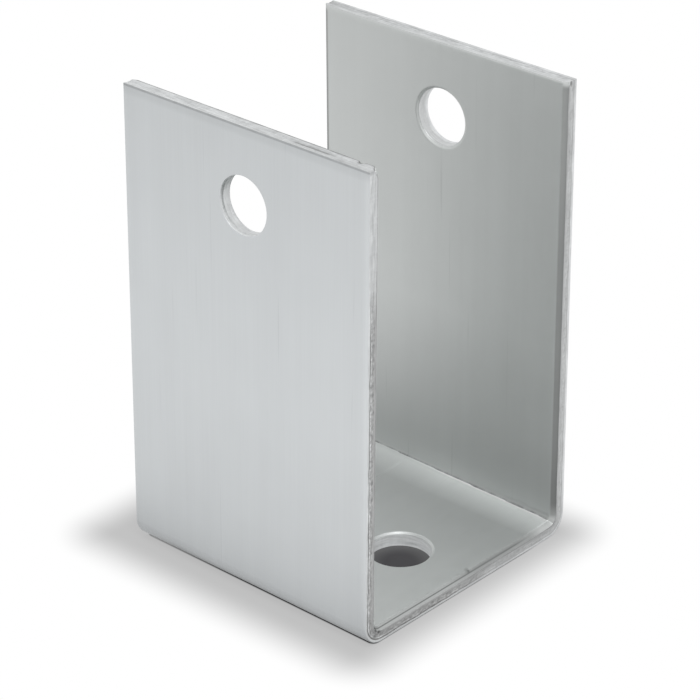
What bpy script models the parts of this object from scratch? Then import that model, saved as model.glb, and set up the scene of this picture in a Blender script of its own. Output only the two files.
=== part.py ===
"""U-bracket: one strip of sheet steel, punched with four holes and folded twice.

Metres, +Z up. The base lies on Z = 0 with its middle at the origin, the folds run along Y,
and the two flanges stand at -X and +X, so that a panel slides in between them from above.
"""

import math

import bmesh
import bpy
from mathutils import Matrix, Vector

# The strip, cut square on all sides
STRIP_WIDTH = 0.040
SHEET_THICKNESS = 0.002

# The two folds: the gap is the widest clear distance between the flanges, just above the bends.
# Each flange closes on the panel by the toe-in, so the mouth is a little narrower than the gap.
PANEL_GAP = 0.035
FLANGE_HEIGHT = 0.064
INSIDE_BEND_RADIUS = 0.001
TOE_IN = math.radians(0.5)

# The punched holes: one in each flange and a wider pair in the base. The offset moves the pair
# from the middle of the base towards the -X flange.
FLANGE_HOLE_DIAMETER = 0.0077
FLANGE_HOLE_FROM_TOP = 0.0102
BASE_HOLE_DIAMETER = 0.0082
BASE_HOLE_SPACING = 0.019
BASE_HOLE_OFFSET = 0.001

# Shearing and punching roll the edge over on the side that the blade enters, which the folds
# turn inwards. The outer face keeps its sharp edge.
EDGE_ROLL = 0.0006

# Facets of each bend, each rolled edge and each hole
BEND_SEGMENTS = 16
ROLL_SEGMENTS = 5
HOLE_SEGMENTS = 72

OUTSIDE_BEND_RADIUS = INSIDE_BEND_RADIUS + SHEET_THICKNESS
STEEL_COLOUR = (0.60, 0.61, 0.62, 1.0)
STEEL_ROUGHNESS = 0.38


def bend_centre(side: int) -> Vector:
    """Returns the axis point of the bend at -X (side -1) or +X (side 1)."""
    across = PANEL_GAP / 2 - INSIDE_BEND_RADIUS
    return Vector((side * across, 0, SHEET_THICKNESS + INSIDE_BEND_RADIUS))


def flange_normal(side: int) -> Vector:
    """Returns the direction that a flange's outer face looks in."""
    return Vector((side * math.cos(TOE_IN), 0, math.sin(TOE_IN)))


def flange_rise(side: int) -> Vector:
    """Returns the direction in which a flange runs from its bend to its top edge."""
    return Vector((-side * math.sin(TOE_IN), 0, math.cos(TOE_IN)))


def flange_top(side: int, radius: float) -> Vector:
    """Returns the top corner of a flange's face that is tangent to the bend at this radius."""
    centre = bend_centre(side)
    outer_foot = centre + flange_normal(side) * OUTSIDE_BEND_RADIUS
    length = (FLANGE_HEIGHT - outer_foot.z) / math.cos(TOE_IN)
    return centre + flange_normal(side) * radius + flange_rise(side) * length


def half_outline(side: int, radius: float) -> list[Vector]:
    """Returns one side of a face's outline, from the flange's top corner to the end of the bend."""
    centre = bend_centre(side)
    points = [flange_top(side, radius)]
    sweep = math.pi / 2 + TOE_IN
    for step in range(BEND_SEGMENTS + 1):
        angle = TOE_IN - sweep * step / BEND_SEGMENTS
        points.append(centre + radius * Vector((side * math.cos(angle), 0, math.sin(angle))))
    return points


def flat_directions() -> list[Vector]:
    """Returns the normals of every flat side of the folded strip."""
    flats = [Vector((0, 0, 1)), Vector((0, 1, 0))]
    for side in (-1, 1):
        flats += [flange_normal(side), flange_rise(side)]
    return flats


def folded_strip() -> bpy.types.Mesh:
    """Returns the folded strip without holes: its section drawn once and extruded along the folds."""
    bm = bmesh.new()
    inner = bm.verts.layers.int.new("inner_face")
    outside = half_outline(-1, OUTSIDE_BEND_RADIUS) + half_outline(1, OUTSIDE_BEND_RADIUS)[::-1]
    inside = half_outline(1, INSIDE_BEND_RADIUS) + half_outline(-1, INSIDE_BEND_RADIUS)[::-1]
    start = Vector((0, -STRIP_WIDTH / 2, 0))
    section = [bm.verts.new(point + start) for point in outside + inside]
    for vertex in section[len(outside):]:
        vertex[inner] = 1
    made = bmesh.ops.extrude_face_region(bm, geom=[bm.faces.new(section)])
    swept = [item for item in made["geom"] if isinstance(item, bmesh.types.BMVert)]
    bmesh.ops.translate(bm, verts=swept, vec=(0, STRIP_WIDTH, 0))

    # The rolled edge runs where the inner face meets a cut one
    rolled = [
        edge
        for edge in bm.edges
        if all(vertex[inner] for vertex in edge.verts)
        and any(not vertex[inner] for face in edge.link_faces for vertex in face.verts)
    ]
    bmesh.ops.bevel(
        bm,
        geom=rolled,
        offset=EDGE_ROLL,
        offset_type="OFFSET",
        segments=ROLL_SEGMENTS,
        profile=0.5,
        affect="EDGES",
    )
    bmesh.ops.recalc_face_normals(bm, faces=bm.faces)
    for face in bm.faces:
        face.smooth = all(abs(face.normal.dot(flat)) < math.cos(0.01) for flat in flat_directions())
    mesh = bpy.data.meshes.new("u_bracket")
    bm.to_mesh(mesh)
    bm.free()
    return mesh


def punch(diameter: float) -> bpy.types.Mesh:
    """Returns a punch: a pin along +Z from the outer face at 0, flared where it leaves the sheet."""
    reach = SHEET_THICKNESS
    radius = diameter / 2
    proud = EDGE_ROLL * 0.02
    profile = [Vector((0, 0, -reach)), Vector((radius, 0, -reach))]
    for step in range(ROLL_SEGMENTS + 1):
        angle = math.pi / 2 * step / ROLL_SEGMENTS
        out = radius + EDGE_ROLL * (1 - math.cos(angle))
        depth = SHEET_THICKNESS + proud - EDGE_ROLL * (1 - math.sin(angle))
        profile.append(Vector((out, 0, depth)))
    end = SHEET_THICKNESS + reach
    profile += [Vector((radius + EDGE_ROLL, 0, end)), Vector((0, 0, end))]
    bm = bmesh.new()
    line = [bm.verts.new(point) for point in profile]
    for low, high in zip(line, line[1:]):
        bm.edges.new((low, high))
    bmesh.ops.spin(
        bm,
        geom=bm.verts[:] + bm.edges[:],
        axis=(0, 0, 1),
        cent=(0, 0, 0),
        angle=2 * math.pi,
        steps=HOLE_SEGMENTS,
    )
    bmesh.ops.remove_doubles(bm, verts=bm.verts, dist=1e-7)
    bmesh.ops.recalc_face_normals(bm, faces=bm.faces)
    mesh = bpy.data.meshes.new("punch")
    bm.to_mesh(mesh)
    bm.free()
    mesh.shade_smooth()
    return mesh


def hole_placements() -> dict[str, tuple[float, Matrix]]:
    """Returns each hole's diameter and frame by name: its origin on the outer face, +Z into the sheet."""
    placed = {}
    for name, side in (("flange_hole_a", -1), ("flange_hole_b", 1)):
        top = flange_top(side, OUTSIDE_BEND_RADIUS)
        spot = top - flange_rise(side) * FLANGE_HOLE_FROM_TOP
        turn = (-flange_normal(side)).to_track_quat("Z", "Y")
        frame = Matrix.Translation(spot) @ turn.to_matrix().to_4x4()
        placed[name] = (FLANGE_HOLE_DIAMETER, frame)
    for name, side in (("base_hole_a", -1), ("base_hole_b", 1)):
        spot = Vector((-BASE_HOLE_OFFSET, side * BASE_HOLE_SPACING / 2, 0))
        placed[name] = (BASE_HOLE_DIAMETER, Matrix.Translation(spot))
    return placed


def steel() -> bpy.types.Material:
    """Returns the plain satin steel of the sheet."""
    material = bpy.data.materials.new("sheet_steel")
    material.use_nodes = True
    shader = material.node_tree.nodes["Principled BSDF"]
    shader.inputs["Base Color"].default_value = STEEL_COLOUR
    shader.inputs["Metallic"].default_value = 1.0
    shader.inputs["Roughness"].default_value = STEEL_ROUGHNESS
    return material


def main() -> None:
    """Clears the scene and models the bracket with its holes cut."""
    for old in list(bpy.data.objects):
        bpy.data.objects.remove(old, do_unlink=True)
    collection = bpy.context.scene.collection
    bracket = bpy.data.objects.new("u_bracket", folded_strip())
    bracket.data.materials.append(steel())
    collection.objects.link(bracket)
    for name, (diameter, place) in hole_placements().items():
        cutter = bpy.data.objects.new(name, punch(diameter))
        cutter.matrix_world = place
        cutter.hide_render = True
        cutter.display_type = "WIRE"
        collection.objects.link(cutter)
        cut = bracket.modifiers.new(name, "BOOLEAN")
        cut.operation = "DIFFERENCE"
        cut.object = cutter


main()
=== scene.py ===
"""Looks of the U-bracket: a punched strip of satin sheet steel, folded twice.

The strip is modelled as it is made. A flat blank with its punched holes and sheared edges comes
first, then a Geometry Nodes tree roughens the torn part of each sheared edge and folds the blank
by rule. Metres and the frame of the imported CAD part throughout.
"""

import logging
import math
from collections.abc import Callable
from dataclasses import dataclass, field, replace
from enum import Enum

import bpy
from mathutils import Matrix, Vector


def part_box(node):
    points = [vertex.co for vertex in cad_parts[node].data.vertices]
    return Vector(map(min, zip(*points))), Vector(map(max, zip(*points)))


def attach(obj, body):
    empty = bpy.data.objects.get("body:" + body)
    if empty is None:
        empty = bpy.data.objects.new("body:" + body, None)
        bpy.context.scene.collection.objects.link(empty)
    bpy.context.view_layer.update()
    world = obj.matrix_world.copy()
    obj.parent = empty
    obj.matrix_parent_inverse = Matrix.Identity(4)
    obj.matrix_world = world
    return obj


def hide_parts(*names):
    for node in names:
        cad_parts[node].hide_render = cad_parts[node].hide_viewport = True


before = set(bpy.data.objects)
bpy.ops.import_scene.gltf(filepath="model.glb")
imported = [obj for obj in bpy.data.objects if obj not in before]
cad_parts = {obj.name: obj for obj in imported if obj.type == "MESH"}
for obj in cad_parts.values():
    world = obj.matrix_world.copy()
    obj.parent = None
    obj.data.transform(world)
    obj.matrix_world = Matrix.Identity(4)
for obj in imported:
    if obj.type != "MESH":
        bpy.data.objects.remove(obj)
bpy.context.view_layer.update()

CAD_NODE = "u_bracket"
BODY = "root"

FINISH_NAMES = ("Outer Skin", "Inner Skin", "Sheared Edge")

log = logging.getLogger("u_bracket")

Point = tuple[float, float, float]
Spot = tuple[int, int]
Loop = list[int]
Stop = tuple[float, float]


class Grain(Enum):
    """How a face of the sheet was finished."""

    BRUSHED = "brushed"
    MILL = "mill"


@dataclass(frozen=True)
class StripSizes:
    """Sizes of the strip and its folds, in metres.

    Attributes:
        width: length of each fold.
        thickness: thickness of the sheet.
        gap: widest clear distance between the flanges.
        height: from the underside to the flanges' top edges.
        inside_radius: radius inside each bend.
        toe_in: how far each fold goes past a right angle, in radians.
        neutral: where the unstretched layer lies, as a share of the thickness from the inside.
    """

    width: float
    thickness: float
    gap: float
    height: float
    inside_radius: float = 0.001
    toe_in: float = math.radians(0.5)
    neutral: float = 0.42

    @classmethod
    def from_cad(cls, node: str, thickness: float) -> "StripSizes":
        """Reads the strip's outer sizes from its CAD node.

        Args:
            node: name of the CAD node.
            thickness: thickness of its sheet.

        Returns:
            The sizes of the same strip.
        """
        low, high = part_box(node)
        return cls(
            width=high.y - low.y,
            thickness=thickness,
            gap=high.x - low.x - 2 * thickness,
            height=high.z,
        )

    @property
    def outside_radius(self) -> float:
        """Radius outside each bend."""
        return self.inside_radius + self.thickness

    @property
    def fold_angle(self) -> float:
        """Angle that each fold turns through."""
        return math.pi / 2 + self.toe_in

    @property
    def bend_start(self) -> float:
        """Distance from the strip's middle to the start of a bend."""
        return self.gap / 2 - self.inside_radius

    @property
    def bend_length(self) -> float:
        """Length of strip that a bend takes up."""
        return self.fold_angle * (self.inside_radius + self.neutral * self.thickness)

    @property
    def half_length(self) -> float:
        """Half the flat strip's length."""
        bend_rise = self.outside_radius * (1 - math.cos(self.fold_angle))
        flange = (self.height - bend_rise) / math.sin(self.fold_angle)
        return self.bend_start + self.bend_length + flange


@dataclass(frozen=True)
class EdgeStep:
    """One line of a cut edge's section.

    Attributes:
        inset: distance in from the nominal cut, along the sheet.
        level: height above the outer face.
        end_inset: the same distance at the two ends of the strip.
        end_level: the same height there.
        torn: how rough the metal is there, from 0 to 1.
        slide: how far the line follows the wandering border of the tear, from 0 to 1.
        seam: how dark the painted shade line is, from 0 to 1, where smooth metal breaks off into torn. Below 0, the
            line gets a painted highlight instead, as light as the land beside it.
        roll: how far over the rolled edge the line lies, from 0 to 1.
    """

    inset: float
    level: float
    end_inset: float
    end_level: float
    torn: float = 0.0
    slide: float = 0.0
    seam: float = 0.0
    roll: float = 0.0


@dataclass(frozen=True)
class ShearedSection:
    """Section of an edge that a blade or punch has cut, from the inner face to the outer one.

    Attributes:
        roll_width: how far in from the cut the inner face starts to droop.
        end_roll_width: the same at the strip's ends, which another blade has cut.
        roll_depth: how deep it droops before the shoulder.
        end_roll_depth: the same at the strip's ends.
        shoulder: radius of the shoulder where the droop turns into the cut.
        land: depth of the smooth band that the blade polishes.
        tear: depth of the torn band below it.
        breakout: how far the torn band lies back.
        corner: radius of the dulled corner at the outer face.
        dullness: how dull the polished band is, from 0 to 1.
        roughness: how rough the torn band is, from 0 to 1.
        wanders: whether the tear's border wanders along the cut.
        lined: whether the droop gets painted light and shade of its own.
    """

    roll_width: float = 0.0008
    end_roll_width: float = 0.0003
    roll_depth: float = 0.00042
    end_roll_depth: float = 0.00008
    shoulder: float = 0.00006
    land: float = 0.0003
    tear: float = 0.00076
    breakout: float = 0.00004
    corner: float = 0.00012
    dullness: float = 0.3
    roughness: float = 1.0
    wanders: bool = True
    lined: bool = True

    ROLL_STEPS = 8
    ROLL_POWER = 1.4
    SHOULDER_STEPS = 3
    TEAR_STEPS = 5
    CORNER_STEPS = 4
    SEAM_HALF = 0.00006
    TORN_SEAM = 0.3
    BRIGHT_SHARE = 0.25
    SMOOTH = 0.01

    def steps(self, thickness: float) -> list[EdgeStep]:
        """Lists the section's lines in order.

        Args:
            thickness: thickness of the sheet.

        Returns:
            The lines from the inner face's border to the outer face's border.
        """
        land_top = thickness - self.roll_depth - self.shoulder
        end_land_top = thickness - self.end_roll_depth - self.shoulder
        return [*self._rolled(thickness), *self._cut(land_top, end_land_top), *self._dulled()]

    def _rolled(self, thickness: float) -> list[EdgeStep]:
        """Lists the lines of the droop and of its shoulder."""
        lines = []
        lined = float(self.lined)
        for step in range(self.ROLL_STEPS + 1):
            share = step / self.ROLL_STEPS
            inset, end_inset = (
                width + (self.shoulder - width) * share for width in (self.roll_width, self.end_roll_width)
            )
            level, end_level = (
                thickness - depth * share**self.ROLL_POWER for depth in (self.roll_depth, self.end_roll_depth)
            )
            lines.append(EdgeStep(inset, level, end_inset, end_level, roll=share * lined))
        for step in range(1, self.SHOULDER_STEPS):
            angle = math.pi / 2 * step / self.SHOULDER_STEPS
            inset = self.shoulder * (1 - math.sin(angle))
            drop = self.shoulder * (1 - math.cos(angle))
            lines.append(EdgeStep(inset, level - drop, inset, end_level - drop, roll=lined))
        return lines

    def _cut(self, land_top: float, end_land_top: float) -> list[EdgeStep]:
        """Lists the lines of the polished and torn bands."""
        slide = 1.0 if self.wanders else 0.0
        dull = max(self.dullness, self.SMOOTH)
        torn = max(self.roughness, dull)
        tear_top = land_top - self.land
        lip_top = tear_top - self.tear
        seam = self.roughness
        half = self.SEAM_HALF
        back = self.breakout

        def line(inset: float, level: float, *wear: float) -> EdgeStep:
            """Returns a line that lies alike at the sides and the ends."""
            return EdgeStep(inset, level, inset, level, *wear)

        lines = [
            EdgeStep(0.0, land_top, 0.0, end_land_top, dull, roll=float(self.lined)),
            line(0.0, tear_top + half, dull, slide / 2),
            line(back / 2, tear_top, dull, slide / 2, seam * self.TORN_SEAM),
        ]
        for step in range(self.TEAR_STEPS + 1):
            share = step / self.TEAR_STEPS
            level = tear_top - half - (self.tear - 6 * half) * share
            lines.append(line(back, level, torn, slide * (1 + share) / 2, seam * self.TORN_SEAM))
        bright = max(dull * self.BRIGHT_SHARE, self.SMOOTH)
        lines += [
            line(back, lip_top + 4 * half, torn, slide, -seam),
            line(back, lip_top + 2 * half, torn, slide, -seam),
            line(back, lip_top + half, dull, slide, seam),
            line(back, lip_top - half, dull, slide, seam),
            line(0.0, lip_top - 2 * half, bright, slide),
        ]
        return lines

    def _dulled(self) -> list[EdgeStep]:
        """Lists the lines of the dulled corner at the outer face."""
        lines = []
        for step in range(self.CORNER_STEPS + 1):
            angle = math.pi / 2 * step / self.CORNER_STEPS
            inset = self.corner * (1 - math.cos(angle))
            level = self.corner * (1 - math.sin(angle))
            lines.append(EdgeStep(inset, level, inset, level, self.SMOOTH if step == 0 else 0.0))
        return lines


@dataclass(frozen=True)
class PunchedHole:
    """A round hole in the flat strip.

    Attributes:
        along: its centre's distance from the strip's middle, along the strip.
        across: its centre's distance from the strip's middle line.
        radius: radius of the hole.
        reach: half the side of the square of mesh that surrounds it.
        edge: section of its punched edge.
    """

    along: float
    across: float
    radius: float
    reach: float
    edge: ShearedSection


def subdivided(stops: list[float], spacing: Callable[[float], float]) -> list[float]:
    """Fills the stretches between stops with evenly spaced lines.

    Args:
        stops: positions that must be kept.
        spacing: gives the widest spacing wanted at a position.

    Returns:
        All the positions in rising order.
    """
    kept = sorted(set(stops))
    lines = [kept[0]]
    for low, high in zip(kept, kept[1:]):
        count = max(1, math.ceil((high - low) / spacing((low + high) / 2) - 1e-6))
        lines += [low + (high - low) * step / count for step in range(1, count + 1)]
    return lines


@dataclass(frozen=True)
class BlankFace:
    """The inner or outer face of the blank.

    Attributes:
        points: the number of each grid point by its two line numbers.
        between: the extra points along each border segment, by the segment's two ends.
    """

    points: dict[Spot, int] = field(default_factory=dict)
    between: dict[tuple[Spot, Spot], Loop] = field(default_factory=dict)

    def border(self, spots: list[Spot]) -> Loop:
        """Lists the numbers of all the points round a loop of spots, with the extra ones."""
        loop = []
        for start, end in zip(spots, spots[1:] + spots[:1]):
            loop += [self.points[start], *self.between.get((start, end), [])]
        return loop


@dataclass
class PunchedBlank:
    """The flat strip with its holes, as one closed mesh.

    X runs along the strip, Y across it, and Z from the outer face at 0 to the inner face. The
    flat stretches have a coarse grid, and the cut edges a fine one that their texture needs.

    Attributes:
        sizes: sizes of the strip.
        edge: section of the strip's cut edges.
        holes: the punched holes.
    """

    sizes: StripSizes
    edge: ShearedSection
    holes: list[PunchedHole]
    points: list[Point] = field(default_factory=list)
    torn: list[float] = field(default_factory=list)
    slide: list[float] = field(default_factory=list)
    seam: list[float] = field(default_factory=list)
    roll: list[float] = field(default_factory=list)
    faces: list[Loop] = field(default_factory=list)
    along: list[float] = field(default_factory=list)
    across: list[float] = field(default_factory=list)

    PLAIN_SPACING = 0.0011
    HOLE_SPACING = 0.0006
    EDGE_SPACING = 0.00024
    BEND_LINES = 20
    BORDER_BAND = 0.0014
    RING_SHARES = (0.04, 0.12, 0.25, 0.4, 0.55, 0.7, 0.85)
    TINY = 1e-7

    def build(self, name: str) -> bpy.types.Object:
        """Makes the blank.

        Args:
            name: name of the new object.

        Returns:
            The object, linked to the scene.
        """
        self._draw_lines()
        section = self.edge.steps(self.sizes.thickness)
        inner = self._face(section[0], upward=True)
        outer = self._face(section[-1], upward=False)
        for hole in self.holes:
            self._punch(hole, inner, outer)
        self._close(inner, outer)
        return self._object(name)

    def _draw_lines(self) -> None:
        """Sets the places of the grid's lines along and across the strip."""
        sizes = self.sizes
        bend_end = sizes.bend_start + sizes.bend_length
        stops = [sizes.half_length, sizes.half_length - self.BORDER_BAND, sizes.bend_start, bend_end]
        along_stops = [sign * stop for stop in stops for sign in (-1, 1)]
        edges = [sizes.width / 2, sizes.width / 2 - self.BORDER_BAND]
        across_stops = [sign * stop for stop in edges for sign in (-1, 1)]
        for hole in self.holes:
            along_stops += [hole.along - hole.reach, hole.along + hole.reach]
            across_stops += [hole.across - hole.reach, hole.across + hole.reach]

        def along_spacing(place: float) -> float:
            """Returns the spacing at a place along the strip."""
            if sizes.bend_start < abs(place) < bend_end:
                return sizes.bend_length / self.BEND_LINES
            near = any(abs(place - hole.along) < hole.reach for hole in self.holes)
            return self.HOLE_SPACING if near else self.PLAIN_SPACING

        def across_spacing(place: float) -> float:
            """Returns the spacing at a place across the strip."""
            near = any(abs(place - hole.across) < hole.reach for hole in self.holes)
            return self.HOLE_SPACING if near else self.PLAIN_SPACING

        self.along = subdivided(along_stops, along_spacing)
        self.across = subdivided(across_stops, across_spacing)

    def _add(self, point: Point, line: EdgeStep) -> int:
        """Adds a point with the wear of a section's line and returns its number."""
        self.points.append(point)
        self.torn.append(line.torn)
        self.slide.append(line.slide)
        self.seam.append(line.seam)
        self.roll.append(line.roll)
        return len(self.points) - 1

    def _wear(self) -> dict[str, list[float]]:
        """Returns the wear of all points, by the name of its attribute."""
        return {"torn": self.torn, "slide": self.slide, "seam": self.seam, "roll": self.roll}

    def _place(self, spot: Spot, line: EdgeStep) -> Point:
        """Returns a grid spot's place, kept inside the outline as a line of the edge's section is."""
        half_length = self.sizes.half_length - line.end_inset
        half_width = self.sizes.width / 2 - line.inset
        along = max(-half_length, min(half_length, self.along[spot[0]]))
        across = max(-half_width, min(half_width, self.across[spot[1]]))
        at_end = spot[0] in (0, len(self.along) - 1) and spot[1] not in (0, len(self.across) - 1)
        return along, across, line.end_level if at_end else line.level

    def _segment(self, start: Spot, end: Spot, line: EdgeStep) -> Loop:
        """Adds the extra points along a border segment and returns their numbers."""
        start_place, end_place = self._place(start, line), self._place(end, line)
        nominal = math.dist(
            (self.along[start[0]], self.across[start[1]]),
            (self.along[end[0]], self.across[end[1]]),
        )
        count = max(1, round(nominal / self.EDGE_SPACING))
        made = []
        for step in range(1, count):
            x, y, z = (a + (b - a) * step / count for a, b in zip(start_place, end_place))
            made.append(self._add((x, y, z), line))
        return made

    def _outline(self) -> list[Spot]:
        """Returns the grid's border spots, anticlockwise."""
        return rectangle(0, len(self.along) - 1, 0, len(self.across) - 1)

    def _in_hole(self, along: float, across: float) -> bool:
        """Returns whether a place lies within the square round a hole."""
        return any(
            abs(along - hole.along) < hole.reach - self.TINY and abs(across - hole.across) < hole.reach - self.TINY
            for hole in self.holes
        )

    def _face(self, line: EdgeStep, upward: bool) -> BlankFace:
        """Makes one face of the blank, open where the squares round the holes lie.

        Args:
            line: the line of the edge's section along its border.
            upward: whether it faces up.

        Returns:
            The face.
        """
        face = BlankFace()
        for i, along in enumerate(self.along):
            for j, across in enumerate(self.across):
                if not self._in_hole(along, across):
                    face.points[i, j] = self._add(self._place((i, j), line), line)
        outline = self._outline()
        for start, end in zip(outline, outline[1:] + outline[:1]):
            extra = self._segment(start, end, line)
            face.between[start, end] = extra
            face.between[end, start] = extra[::-1]
        for i in range(len(self.along) - 1):
            for j in range(len(self.across) - 1):
                middle = (self.along[i] + self.along[i + 1]) / 2, (self.across[j] + self.across[j + 1]) / 2
                if not self._in_hole(*middle):
                    cell = face.border([(i, j), (i + 1, j), (i + 1, j + 1), (i, j + 1)])
                    self.faces.append(cell if upward else cell[::-1])
        return face

    def _bridge(self, first: Loop, second: Loop) -> None:
        """Joins two loops of points with quads, which face right when the loops run anticlockwise."""
        for here, after in zip(range(len(first)), [*range(1, len(first)), 0]):
            self.faces.append([first[here], first[after], second[after], second[here]])

    def _close(self, inner: BlankFace, outer: BlankFace) -> None:
        """Closes the blank round its outline with the section of a sheared edge."""
        outline = self._outline()
        last = inner.border(outline)
        for line in self.edge.steps(self.sizes.thickness)[1:-1]:
            ring = []
            for start, end in zip(outline, outline[1:] + outline[:1]):
                ring.append(self._add(self._place(start, line), line))
                ring += self._segment(start, end, line)
            self._bridge(ring, last)
            last = ring
        self._bridge(outer.border(outline), last)

    def _punch(self, hole: PunchedHole, inner: BlankFace, outer: BlankFace) -> None:
        """Fills the square round a hole with rings of mesh and makes the hole's wall."""
        reach = hole.reach + self.TINY
        columns = [i for i, along in enumerate(self.along) if abs(along - hole.along) < reach]
        rows = [j for j, across in enumerate(self.across) if abs(across - hole.across) < reach]
        square = rectangle(columns[0], columns[-1], rows[0], rows[-1])
        rim = [(self.along[i] - hole.along, self.across[j] - hole.across) for i, j in square]

        def ring(line: EdgeStep, share: float = 0.0) -> Loop:
            """Adds a ring of points at a line of the section, or a share of the way to the square."""
            made = []
            for x, y in rim:
                scale = (hole.radius + line.inset) / math.hypot(x, y) * (1 - share) + share
                made.append(self._add((hole.along + x * scale, hole.across + y * scale, line.level), line))
            return made

        steps = hole.edge.steps(self.sizes.thickness)
        loops = [[inner.points[spot] for spot in square]]
        loops += [ring(steps[0], share) for share in self.RING_SHARES[::-1]]
        loops += [ring(line) for line in steps]
        loops += [ring(steps[-1], share) for share in self.RING_SHARES]
        loops.append([outer.points[spot] for spot in square])
        for first, second in zip(loops, loops[1:]):
            self._bridge(first, second)

    def _object(self, name: str) -> bpy.types.Object:
        """Makes the Blender object of the points and faces gathered so far."""
        mesh = bpy.data.meshes.new(name)
        mesh.from_pydata(self.points, [], self.faces)
        for attribute, values in self._wear().items():
            mesh.attributes.new(attribute, "FLOAT", "POINT").data.foreach_set("value", values)
        mesh.update()
        blank = bpy.data.objects.new(name, mesh)
        bpy.context.scene.collection.objects.link(blank)
        return blank


def rectangle(left: int, right: int, bottom: int, top: int) -> list[Spot]:
    """Lists the line numbers round a rectangle of the mesh, anticlockwise.

    Args:
        left: number of the first line along the strip.
        right: number of the last line along it.
        bottom: number of the first line across it.
        top: number of the last line across it.

    Returns:
        Each border point's two line numbers, once.
    """
    return (
        [(i, bottom) for i in range(left, right)]
        + [(right, j) for j in range(bottom, top)]
        + [(i, top) for i in range(right, left, -1)]
        + [(left, j) for j in range(top, bottom, -1)]
    )


class FieldTree:
    """A Geometry Nodes tree under construction, with short calls for the maths of a rule."""

    def __init__(self, name: str) -> None:
        """Starts an empty tree with a mesh going in and a mesh coming out."""
        self.tree = bpy.data.node_groups.new(name, "GeometryNodeTree")
        self.tree.is_modifier = True
        self.tree.interface.new_socket("Blank", in_out="INPUT", socket_type="NodeSocketGeometry")
        self.tree.interface.new_socket("Strip", in_out="OUTPUT", socket_type="NodeSocketGeometry")
        self.entry = self.tree.nodes.new("NodeGroupInput")
        self.exit = self.tree.nodes.new("NodeGroupOutput")
        self.identifiers: dict[str, str] = {}

    def input(self, name: str, kind: str) -> bpy.types.NodeSocket:
        """Adds a named input.

        Args:
            name: name shown on the modifier.
            kind: Blender's name of the socket type.

        Returns:
            The socket that gives its value inside the tree.
        """
        made = self.tree.interface.new_socket(name, in_out="INPUT", socket_type=kind)
        self.identifiers[name] = made.identifier
        return self.entry.outputs[name]

    def node(self, kind: str, **settings: object) -> bpy.types.Node:
        """Adds a node.

        Args:
            kind: Blender's name of the node type.
            **settings: properties to set on it.

        Returns:
            The new node.
        """
        made = self.tree.nodes.new(kind)
        for key, value in settings.items():
            setattr(made, key, value)
        return made

    def wire(self, source: object, target: bpy.types.NodeSocket) -> None:
        """Feeds a socket from another socket or from a plain value.

        Args:
            source: a socket, or a value for the target's own field.
            target: the socket to feed.
        """
        if isinstance(source, bpy.types.NodeSocket):
            self.tree.links.new(source, target)
        else:
            target.default_value = source

    def maths(self, operation: str, *terms: object) -> bpy.types.NodeSocket:
        """Adds a maths node.

        Args:
            operation: Blender's name of the operation.
            *terms: sockets or numbers to work on.

        Returns:
            The result's socket.
        """
        made = self.node("ShaderNodeMath", operation=operation)
        for term, socket in zip(terms, made.inputs):
            self.wire(term, socket)
        return made.outputs[0]

    def vector(self, operation: str, *terms: object) -> bpy.types.NodeSocket:
        """Adds a vector maths node and returns its vector, from sockets or values in its inputs' order."""
        made = self.node("ShaderNodeVectorMath", operation=operation)
        places = [made.inputs["Vector"], made.inputs["Scale"]] if operation == "SCALE" else made.inputs
        for term, socket in zip(terms, places):
            self.wire(term, socket)
        return made.outputs[0]

    def length(self, vector: bpy.types.NodeSocket) -> bpy.types.NodeSocket:
        """Returns the socket of a vector's length."""
        made = self.node("ShaderNodeVectorMath", operation="LENGTH")
        self.wire(vector, made.inputs[0])
        return made.outputs["Value"]

    def parts(self, vector: bpy.types.NodeSocket) -> bpy.types.NodeOutputs:
        """Returns the three parts of a vector, by name."""
        made = self.node("ShaderNodeSeparateXYZ")
        self.wire(vector, made.inputs[0])
        return made.outputs

    def position(self) -> bpy.types.NodeSocket:
        """Returns the place of each point."""
        return self.node("GeometryNodeInputPosition").outputs[0]

    def distance(self) -> bpy.types.NodeSocket:
        """Returns each point's distance from the strip's middle, along the flat strip."""
        return self.maths("ABSOLUTE", self.parts(self.position())["X"])

    def attribute(self, name: str, kind: str = "FLOAT") -> bpy.types.NodeSocket:
        """Returns a stored attribute of each point."""
        made = self.node("GeometryNodeInputNamedAttribute", data_type=kind)
        self.wire(name, made.inputs["Name"])
        return made.outputs["Attribute"]

    def noise(self, scale: object, detail: float) -> bpy.types.NodeSocket:
        """Returns seeded noise from 0 to 1, with a scale in cells for each metre."""
        made = self.node("ShaderNodeTexNoise", noise_dimensions="4D")
        self.wire(scale, made.inputs["Scale"])
        self.wire(self.entry.outputs["Seed"], made.inputs["W"])
        self.wire(detail, made.inputs["Detail"])
        return made.outputs[0]

    def rise(
        self, value: bpy.types.NodeSocket, low: object, high: object, kind: str = "SMOOTHSTEP"
    ) -> bpy.types.NodeSocket:
        """Returns a rise from 0 to 1 as a value goes from low to high.

        Args:
            value: the value.
            low: where the rise starts.
            high: where it ends.
            kind: Blender's name of the interpolation.

        Returns:
            The rise's socket.
        """
        made = self.node("ShaderNodeMapRange", interpolation_type=kind)
        self.wire(value, made.inputs["Value"])
        self.wire(low, made.inputs["From Min"])
        self.wire(high, made.inputs["From Max"])
        return made.outputs[0]


@dataclass(frozen=True)
class Dent:
    """A small knock or scratch in the metal.

    Attributes:
        place: its middle on the flat blank.
        reach: how far it reaches along, across and through the strip.
        push: how far the metal moves at its middle.
        mark: how dark it leaves the metal, from 0 to 1.
    """

    place: Point
    reach: Point
    push: Point
    mark: float = 1.0


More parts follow.
